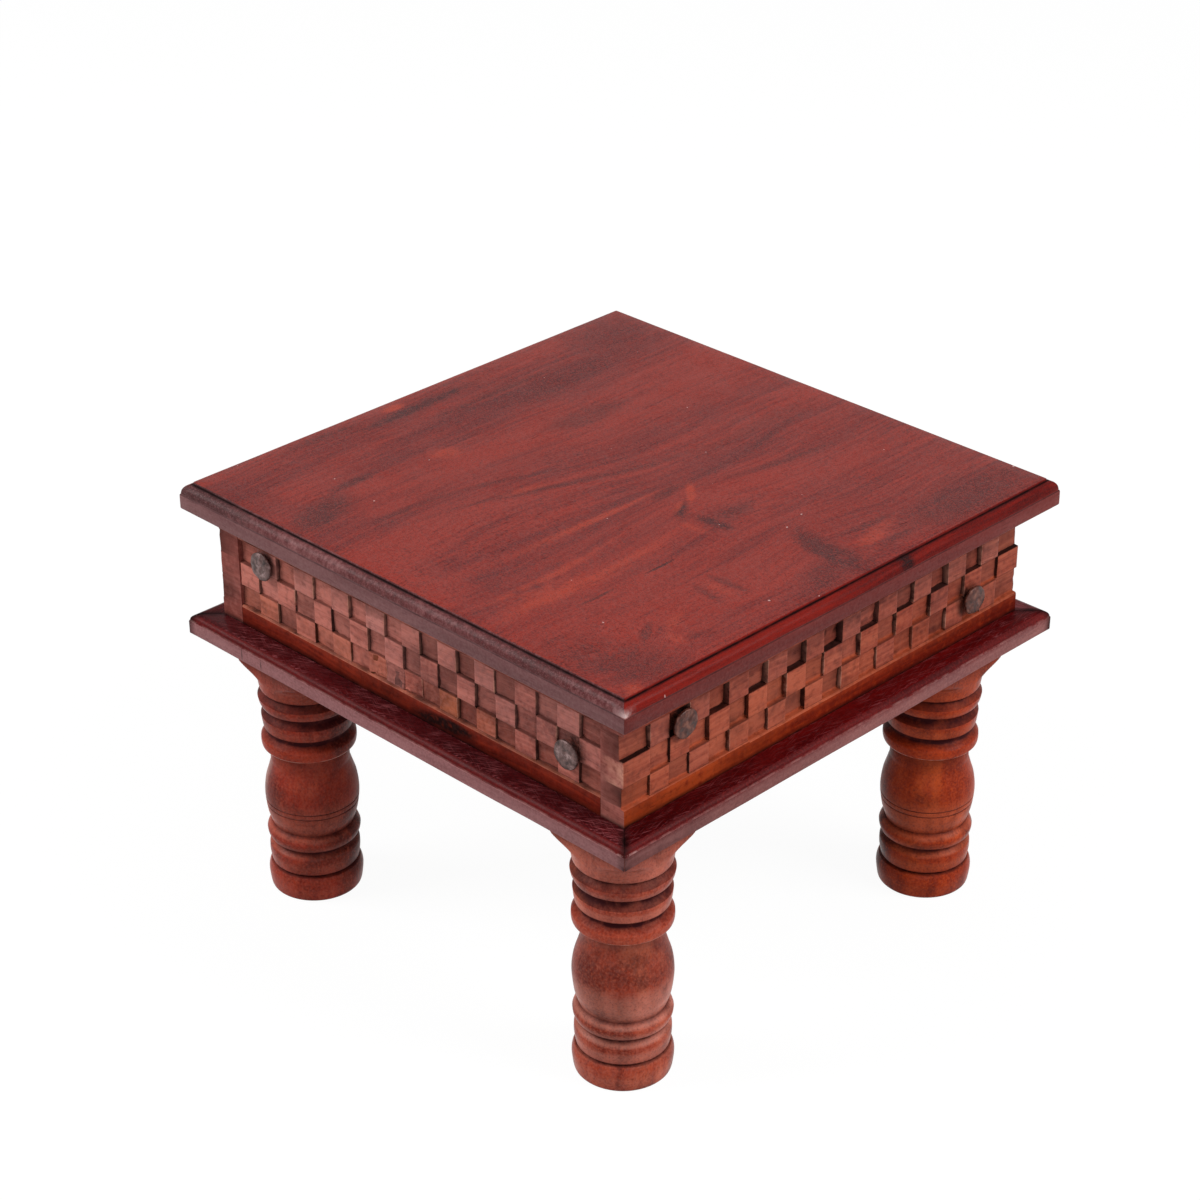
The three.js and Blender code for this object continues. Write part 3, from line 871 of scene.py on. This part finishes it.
def makeApron(face, look, finishes):
    name, side = faceNames[face] + "_apron", face % 2
    low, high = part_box(name)
    corners = [turnedRound(low, -face), turnedRound(high, -face)]
    inner, outer = sorted(-corner.y / mm for corner in corners)
    length = abs(corners[0].x - corners[1].x) / mm
    grid = apronGrid(face, look, length, (high.z - low.z) / mm)
    tall, wide = len(grid), len(grid[0])
    ring = [*range(wide), *range(2 * wide - 1, tall * wide, wide),
            *range(tall * wide - 2, (tall - 1) * wide - 1, -1),
            *range((tall - 2) * wide, 0, -wide)]  # round the carved side
    spots = [spot for strip in grid for spot in strip]
    back, count = len(spots), len(ring)
    spots += [(*spots[index][:2], outer - inner, (0, 0, 0)) for index in ring]
    faces = []
    slots = []  # 0 cells, 1 ends, 2 walls dark with stain and painted shade, 3 band
    for row in range(tall - 1):
        for a in range(row * wide, row * wide + wide - 1):
            faces.append((a, a + 1, a + wide + 1, a + wide))
            near, after, farther, above = (spots[index][2] for index in faces[-1])
            across = max(abs(near - after), abs(above - farther))
            rise = max(abs(near - above), abs(after - farther))
            up = spots[a][1]
            # on the side boards the flat walls of the upper rows take the dark wall finish too:
            # painted shade of the top's overhang, and dirt
            isWall = across > 0.9 or (rise > 1 and side and up > look["band"] * 2.2)
            isBand = up < look["band"] - 2.5 and near < 0.3
            slots.append(2 if isWall else 3 if isBand else 0)
    for index in range(count):
        after = (index + 1) % count
        faces.append((ring[index], back + index, back + after, ring[after]))
    faces.append(tuple(range(back, back + count)))
    slots += [1] * (count + 1)
    points = [turnedRound((along * mm, (depth - outer) * mm, low.z + up * mm), face)
              for along, up, depth, _ in spots]
    mesh = meshOf(name.replace("apron", "carving"), points, faces)
    for polygon, slot in zip(mesh.polygons, slots):
        polygon.material_index = slot
    paints = []
    for along, up, depth, (dirtAndShade, wornAndHighlight, tone) in spots:
        # darker towards the foot: stain and painted shade where the board stands on the rail
        seat = 0.95 * max(0, 1 - up / look["seat"][side])
        joint = 0.8 if not side and abs(along) > length / 2 - 0.1 else 0
        # painted shade deep in a chip
        floor = 0.9 if look["hole"] < depth < outer - inner else dirtAndShade
        paints.append((max(seat, joint, floor), wornAndHighlight, tone))
    paint(mesh, paints)
    finishPiece(mesh, name, finishes, sharp=30)


# Painted shadow round the nails of some faces, where the gap under each head is dark.
def nailShadows(look, *faces):
    shadows = []
    for face in faces:
        edge = turnedRound((0, -look["faceAt"], 0), face)
        for place in ("high", "low"):
            middle = middleOf(f"{faceNames[face]}_stud_{place}") / mm
            centre = (edge.x or middle.x, edge.y or middle.y, middle.z)
            shadows.append((centre, [look["halo"]] * 3, 0, 0.9, "grimeAndShade"))
    return shadows


# front and back boards: pinker and greyer than the side boards, the wood's colour with a painted
# sheen
apronWood = dict(
    woodBase, **stain((100, 42, 35), (150, 75, 63), (188, 107, 92)),
    grain=0, shade=(70, 22, 18), grimeAndShade=(26, 8, 6), warm=(166, 88, 56),
    dull=(176, 120, 114), wornAndHighlight=(196, 138, 118), haze=(196, 150, 142),
    hazeShare=0.12, roughness=(0.5, 0.62), specular=0.12, bump=0.5, uneven=0.8,
    poreShare=0.3, blotch=60, blotchShare=0.5, streak=190, streakShare=0.3,
    fineShare=0.3, mottle=320, mottleReach=0.24, mottleShare=0.4,
    marks=nailShadows(apronLook, 0, 2),
)
apronSideWood = dict(
    apronWood, **stain((88, 28, 19), (134, 57, 41), (164, 82, 60)),
    grain=1, offset=(0.4, 0.2, 0.7), shade=(66, 18, 13), warm=(164, 72, 36),
    dull=(140, 88, 80), haze=(190, 132, 114), hazeShare=0.06,
    marks=nailShadows(apronLook, 1, 3) + [
        # painted shade in small chisel cuts near the ends
        ((139.5, -137, 200), (3, 5, 1.2), 0, 1, "grimeAndShade"),
        ((139.5, -134, 173), (3, 1.2, 1.2), 0, 1, "grimeAndShade"),
        ((139.5, 126.7, 202.5), (3, 1.3, 1.3), 0, 1, "grimeAndShade"),
        ((139.5, 129.7, 180), (3, 1.3, 1.3), 0, 1, "grimeAndShade"),
    ],
)
endShades = {
    **stain((112, 52, 46), (134, 68, 60), (160, 96, 88)), "warm": (130, 62, 54),
    "dull": (134, 68, 60), "streak": 240, "streakShare": 0.2, "marks": [],
}
# near black: stain and painted shade in the chiselled walls
wallStainAndShade = {
    **stain((24, 7, 7), (44, 13, 11), (74, 28, 22)), "shade": (24, 8, 8), "stretch": 12,
    "streak": 240, "spread": (0.42, 0.66), "specular": 0.05, "mottleShare": 0.1,
    "hazeShare": 0.04, "marks": [],
}
bandShades = {
    **stain((60, 10, 4), (104, 22, 10), (138, 42, 22)), "shade": (46, 8, 5),
    "warm": (112, 44, 32), "grimeAndShade": (24, 5, 5), "blotch": 24, "blotchShare": 0.8,
    "hazeShare": 0.02, "specular": 0.04,
    "marks": [((24, -139, 163.5), (28, 20, 5), 0, 1, "grimeAndShade")],
}
sideBandShades = dict(
    bandShades, **stain((76, 10, 3), (112, 24, 7), (150, 50, 18)), shade=(78, 12, 5),
    warm=(150, 58, 30), glow=(164, 70, 30), spread=(0.44, 0.7), blotchShare=0.6,
    marks=[((139, -150, 164), (30, 150, 40), 0, 0.5, "glow")],
)
apronFinishes = []
for way, wood, endGrain, band in (("across", apronWood, 1, bandShades),
                                  ("along", apronSideWood, 0, sideBandShades)):
    shadesOf = {"wood": {}, "end": {**endShades, "grain": endGrain}, "wall": wallStainAndShade,
                "band": band}
    apronFinishes.append([woodFinish(f"apron {part} {way}", {**wood, **shades})
                          for part, shades in shadesOf.items()])
for face in range(4):
    makeApron(face, apronLook, apronFinishes[face % 2])
print("apron is carved")


# Legs: turned below a square shoulder

legLook = {  # mm
    "steps": 160, "stock": 49,
    "softCorner": 26,  # power of the shoulder's outline
    "tenon": 9,
    "height": 146.8,  # that the outlines below are drawn for
    "scribes": (49.6, 52.6), "scribeDepth": 0.35,
    "collar": (75.2, 79.6),  # a little thicker between these levels
    "plainLeg": "front_right",
    "lightLine": 84.3,  # bare wood under the middle ring
    "tones": [  # level, and warmer wood or the paler dull shade there; the palest, on the two lowest rings' slopes and under the belly, is painted sheen
        (0, 0), (6, -0.2), (12, 0.5), (14, -0.3), (20, -0.6), (23.4, 0.5),
        (24.4, -0.2), (25.6, -1), (27, -0.5), (31, -0.6), (34.2, 0.3), (35.2, -0.4),
        (36.2, -1), (37.6, -0.6), (44, -0.9), (54, -0.6), (60, 0.2), (76, 0.1),
        (82, -0.4), (84.5, 0.4), (91, 0.8), (95.6, -0.4), (99.5, -0.3), (101.4, 0.5),
        (102.4, 0), (108, -0.3), (111, -0.1), (112.4, 0.6), (113.4, 0), (118, -0.4),
        (135, -0.3), (146.8, -0.3),
    ],
    # from crease to crease: dirt and painted shade beyond the last crease, then radius, level and
    # dirt and painted shade of points; the grooves under the lips hold painted shade
    "parts": [
        [(22.4, 0, 0.3), (23.4, 0.4, 0.1), (24, 3, 0), (24.5, 8, 0), (24.2, 11, 0),
         (23.3, 13.4, 0.1)],
        [0.4, (21.2, 14.4, 1)],
        [1, (22.6, 15.3, 0.6)],
        [0.1, (23.1, 18, 0), (23.4, 21, 0), (23.3, 24.2, 0)],
        [0, (22.7, 25.2, 0), (21.4, 26.3, 0.25), (20.4, 27.4, 0.9)],
        [1, (20.3, 29, 1), (22.9, 29.6, 0.6)],
        [0.1, (23.8, 31.6, 0), (24.1, 33.8, 0)],
        [0, (23.6, 35.2, 0), (22.5, 36.8, 0.1), (21.1, 38.1, 0.7)],
        [0.5, (22.1, 41, 0), (23.4, 46, 0), (24.3, 55, 0.1), (23.5, 63, 0.15), (21.7, 69, 0.1),
         (20.1, 74.5, 0.25), (19.4, 79, 0.4), (19.3, 82.6, 0.5)],
        [0.7, (20.3, 83.6, 0.9), (23.6, 84.1, 0.3)],
        [0, (24.1, 84.8, 0), (24.4, 86.8, 0), (24.3, 89, 0)],
        [0.05, (23.2, 90.4, 0.3), (21.7, 91.6, 0.55), (20.9, 92.6, 1)],
        [1, (20.7, 94.9, 1), (22.8, 95.6, 0.7)],
        [0.1, (23.3, 98.5, 0), (23.65, 101.8, 0), (23.6, 102.2, 0.1)],
        [0.66, (22.8, 103.3, 0.72), (21.3, 104.9, 0.9), (21, 106, 1)],
        [1, (20.9, 107.6, 1), (23.4, 108.1, 0.9)],
        [0.1, (24.3, 110.2, 0), (24.8, 112.7, 0), (24.8, 113.1, 0.1)],
        [0.55, (24.2, 113.9, 0.58), (22.4, 115.8, 0.72), (21.7, 116.7, 1)],
        [1, (21.6, 117.3, 1), (23.1, 117.8, 0.7)],
        [0.1, (23.8, 118.8, 0), (24.2, 120.8, 0), (24.6, 123.2, 0), (25.6, 125.6, 0.05),
         (27.8, 127.8, 0.1), (31.6, 130, 0.2), (34.6, 132, 0.4), (36, 134, 0.6)],
        [0.6, (36, 138, 0.7), (36, 142, 0.7), (36, 146.8, 0.8)],
    ],
}


def legRows(look, scribed):
    rows = []
    for start, *part in look["parts"]:
        part.insert(0, (*rows[-1][:2], start) if rows else start)
        steps = 5 if len(part) > 6 else 4 if len(part) > 3 else 3
        rows += smoothLine(part, steps)[1 if rows else 0:]
    if not scribed:
        return rows
    first, last = look["scribes"]
    fine = []  # more rows round the scribed lines
    for before, after in zip(rows, rows[1:]):
        count = 6 if first - 2.5 < after[1] < last + 3 else 1
        fine += [tuple(a + (b - a) * step / count for a, b in zip(before, after))
                 for step in range(count)]
    cut = []
    for radius, level, dirtAndShade in fine + rows[-1:]:
        dip = sum(look["scribeDepth"] * math.exp(-((level - scribe) / 0.28) ** 2)
                  for scribe in look["scribes"])
        collar = look["scribeDepth"] if look["collar"][0] < level < look["collar"][1] else 0
        cut.append((radius - dip + collar, level, max(dirtAndShade, min(1, dip * 3))))
    return cut


def toneAt(tones, level):
    for (start, a), (end, b) in zip(tones, tones[1:]):
        if level <= end:
            return a + (b - a) * (level - start) / (end - start)


def makeLeg(corner, look, finish):
    name = cornerNames[corner] + "_leg"
    centre, top = middleOf(name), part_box(name)[1].z / mm
    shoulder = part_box("front_base_rail")[0].z / mm
    scale = shoulder / look["height"]
    half, power, tenon = look["stock"] / 2, look["softCorner"], look["tenon"]
    ways = circle(look["steps"])
    rows = legRows(look, cornerNames[corner] != look["plainLeg"])
    turned = []  # reach on each way round, and level
    paints = []
    for radius, level, dirtAndShade in rows:
        reaches = []
        for x, y in ways:
            limit = half / (abs(x) ** power + abs(y) ** power) ** (1 / power)
            reach = (radius ** -60 + limit ** -60) ** (-1 / 60)
            reaches.append(reach - abs(wobble(x * 0.8 + corner * 4, y * 0.8, level * 0.06, 0.2)))
        turned.append((reaches, level * scale))
        crest = 0.9 * max(0, 1 - abs(level - look["lightLine"]) / 0.45)
        paints += [(min(1, max(0, dirtAndShade)), crest, toneAt(look["tones"], level))] * len(ways)
    for radius, level in ((tenon, shoulder), (tenon, top - 1), (tenon - 1, top)):
        turned.append(([radius] * len(ways), level))
        paints += [(0, 0, 0)] * len(ways)
    points = [(centre.x + reach * x * mm, centre.y + reach * y * mm, level * mm)
              for reaches, level in turned for reach, (x, y) in zip(reaches, ways)]
    mesh = meshOf(name.replace("leg", "turned_leg"), points, loopFaces(len(turned), len(ways)))
    paint(mesh, paints)
    finishPiece(mesh, name, [finish], sharp=34)


legWood = dict(
    woodBase, **stain((112, 38, 24), (148, 60, 40), (178, 84, 54)),
    shade=(70, 18, 15), warm=(150, 46, 22), dull=(178, 104, 86), grimeAndShade=(46, 6, 9),
    wornAndHighlight=(206, 150, 132), haze=(190, 140, 128), hazeShare=0.14,
    grain=2, stretch=3, sway=8, swayScale=20, broad=40,
    broadShare=0.6, streak=160, streakShare=0.26, fineShare=0.14,
    roughness=(0.26, 0.4), specular=0.07, blotch=42, blotchShare=0.6, mottleShare=0.4,
)
legShades = [  # leg by leg, with its shades and marks
    {"mid": (156, 64, 46), "light": (184, 90, 64), "dull": (186, 112, 96), "marks": [
        ((110, -136, 68), (10, 12, 17), 0, 0.6, "shade"),
        ((132, -126, 68), (20, 16, 12), 0, 0.6, "shade"),
        ((128, -128, 62), (9, 9, 13), 0, 0.5, "warm"),
    ]},
    {**stain((116, 33, 16), (158, 53, 22), (188, 78, 36)), "dull": (172, 78, 50),
     "warm": (152, 44, 14), "hazeShare": 0.05, "marks": [
        # painted shade on the inner side, under the table
        ((98, 96, 22), (17, 17, 26), 0, 0.9, "shade"),
        ((95, 106, 70), (14, 18, 18), 0, 0.6, "shade"),
        ((93, 97, 100), (15, 15, 18), 0, 0.8, "shade"),
    ]},
    {"mid": (146, 60, 40)},
    {"mid": (144, 46, 33), "light": (174, 72, 48), "dull": (168, 80, 62), "hazeShare": 0.1,
     "marks": [
        # painted shade on the inner side, under the table
        ((-94, -104, 28), (18, 20, 32), 0, 0.95, "shade"),
        ((-92, -108, 100), (18, 20, 24), 0, 0.9, "shade"),
        # painted highlight on the outer side
        ((-134, -128, 66), (18, 20, 32), 0, 0.9, "haze"),
    ]},
]
for corner, shades in enumerate(legShades):
    offset = (0.3 * corner, 0.17 * corner, 0.41 * corner)
    look = {**legWood, **shades, "offset": offset}
    makeLeg(corner, legLook, woodFinish("leg wood " + cornerNames[corner], look))
print("legs are turned")


# Studs: hammered dome heads with a shank

studLook = {  # mm
    "radius": 7.5,
    "height": 3.2,  # face of the head over the board
    "gap": 1, "rim": 0.7, "steps": 56, "shank": 2.4, "shankLength": 30, "point": 4,
}


def metalFinish(name, look):
    material = bpy.data.materials.new(name)
    s = Shading(material)
    place = s.node("TexCoord").outputs["Object"]
    cloud = s.noise(place, 260, 4, 0.6)
    pits = s.noise(place, 1400, 3, 0.6)
    stops = ((0.36, "dark"), (0.52, "mid"), (0.68, "rub"))
    colour = s.ramp(cloud, [(stop, rgb(*look[shade])) for stop, shade in stops])
    rust = s.remap(s.noise(place, 520, 3), 0.56, 0.7, 0, look["rustShare"])
    bump = s.node("Bump", {"Strength": look["bump"], "Distance": 0.25 * mm, "Height": pits})
    s.finish(s.node("BsdfPrincipled", {
        "Base Color": s.mix(rust, colour, rgb(*look["rust"])), "Metallic": look["metal"],
        "Roughness": s.remap(cloud, 0.35, 0.65, *look["roughness"]),
        "Specular IOR Level": look["specular"], "Normal": bump.outputs[0],
    }))
    return material


# Reach and height of the stud's outline, from the shank's tip to the crown.
def studOutline(look):
    radius, height, gap, rim = look["radius"], look["height"], look["gap"], look["rim"]
    shank, tip = look["shank"], -look["shankLength"]
    outline = [
        (shank * 0.15, tip), (shank, tip + look["point"]), (shank, gap - 0.3),
        (shank + 0.6, gap), (radius - rim, gap + 0.1), (radius - 0.15, gap + 0.4),
        (radius, height * 0.6), (radius - 0.1, height - rim),
        (radius - 0.35, height - 0.35), (radius - rim, height - 0.2),
    ]
    for step in range(1, 9):
        way = math.sqrt(step / 9)
        outline.append(((radius - rim) * (1 - way), height - 0.2 + 0.2 * way))
    return outline


def makeStud(face, place, look, finish):
    name = f"{faceNames[face]}_stud_{place}"
    middle = turnedRound(middleOf(name), -face)
    seat = -min(turnedRound(end, -face).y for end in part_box(name)) / mm - look["height"]
    own = face * 11 + (3 if place == "high" else 0)
    outline = studOutline(look)
    points = []
    for reach, out in outline:
        for x, z in circle(look["steps"]):
            size, rise = reach, out
            if reach > look["shank"] + 1:
                size -= abs(wobble(x * 1.3 + own, z * 1.3, 0, 0.5))
            if out > look["height"] * 0.7:
                rise -= abs(wobble(x * reach * 0.25 + own, z * reach * 0.25, 2, 0.7))
            points.append(turnedRound((middle.x + size * x * mm, -(seat + rise) * mm,
                                       middle.z + size * z * mm), face))
    mesh = meshOf(name.replace("stud", "nail"), points, loopFaces(len(outline), look["steps"]))
    finishPiece(mesh, name, [finish], sharp=50)


ironLook = {
    "dark": (52, 34, 31), "mid": (100, 74, 71), "rub": (162, 136, 134), "rust": (94, 54, 44),
    "rustShare": 0.4, "roughness": (0.3, 0.46), "metal": 0.2, "specular": 0.3, "bump": 0.3,
}
sideIronLook = dict(ironLook, dark=(50, 23, 17), mid=(82, 42, 33), rub=(126, 82, 68))
irons = [metalFinish("aged iron", ironLook), metalFinish("brown iron", sideIronLook)]
for face in range(4):
    for place in ("high", "low"):
        makeStud(face, place, studLook, irons[face % 2])
print("studs are in")


# Pieces that keep their solid shape: corner blocks and screws

blockWood = dict(
    woodBase, **stain((140, 92, 62), (168, 116, 80), (190, 140, 98)),
    grain=2, grimeAndShade=(96, 60, 40), roughness=(0.6, 0.75), specular=0.25,
)
zincLook = dict(
    ironLook,
    dark=(120, 116, 108), mid=(164, 160, 150), rub=(200, 196, 186),
    rustShare=0.15, roughness=(0.28, 0.42), metal=1, bump=0.15,
)
solidFinishes = {
    "block": woodFinish("sawn block wood", blockWood), "screw": metalFinish("zinc", zincLook),
}
for name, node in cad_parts.items():
    for kind, finish in solidFinishes.items():
        if kind in name:
            node.material_slots[0].material = finish
print("blocks and screws are finished")


# Floor and light

stageLook = {
    "floorSize": 9,
    "floorDrop": 0.2,  # mm under the feet
    "floorColour": 0.5, "floorGlow": 0.86, "floorWhite": 1.1, "skyStrength": 0.24,
    "middle": (0, 0, 0.15),  # where the lamps point
    "lamps": [
        {"name": "left box", "place": (-1.5, -1.6, 1.7), "size": 1.3, "watts": 48},
        {"name": "right box", "place": (1.75, 0.8, 1.5), "size": 1.3, "watts": 40},
        {"name": "front box", "place": (1.45, -1.45, 0.95), "size": 1, "watts": 9},
        {"name": "top box", "place": (0, 0.6, 2.3), "size": 1.6, "watts": 5},
    ],
}


# 1 for what the camera, a gloss or a glass sees, 0 for light that falls on things.
def seenDirectly(s):
    rays = s.node("LightPath").outputs
    seen = s.math("MAXIMUM", rays["Is Camera Ray"], rays["Is Glossy Ray"])
    return s.math("MAXIMUM", seen, rays["Is Transmission Ray"])


def makeFloor(look):
    half, level, grey = look["floorSize"] / 2, -look["floorDrop"] * mm, look["floorColour"]
    corners = [turnedRound((-half, -half, level), turns) for turns in range(4)]
    floor = addObject("floor", meshOf("floor", corners, [(0, 1, 2, 3)]))
    material = bpy.data.materials.new("pale floor")
    s = Shading(material)
    matte = s.node("BsdfDiffuse", {"Color": (grey, grey, grey, 1)})
    white = s.node("Emission", {"Strength": look["floorWhite"]})
    share = s.times(seenDirectly(s), look["floorGlow"])
    s.finish(s.node("MixShader", {0: share, 1: matte.outputs[0], 2: white.outputs[0]}))
    floor.data.materials.append(material)


def makeSky(look):
    world = bpy.data.worlds.new("studio")
    bpy.context.scene.world = world
    s = Shading(world)
    strength = s.remap(seenDirectly(s), 0, 1, look["skyStrength"], 1)
    s.finish(s.node("Background", {"Color": (1, 1, 1, 1), "Strength": strength}), "OutputWorld")


def makeLamp(look, middle):
    data = bpy.data.lights.new(look["name"], "AREA")
    data.shape = "SQUARE"
    data.size = look["size"]
    data.energy = look["watts"]
    lamp = addObject(look["name"], data)
    lamp.location = look["place"]
    lookAlong(lamp, Vector(middle) - lamp.location)


makeFloor(stageLook)
makeSky(stageLook)
for lampLook in stageLook["lamps"]:
    makeLamp(lampLook, stageLook["middle"])
bpy.context.scene.view_settings.view_transform = "Standard"
print("floor and light are set")
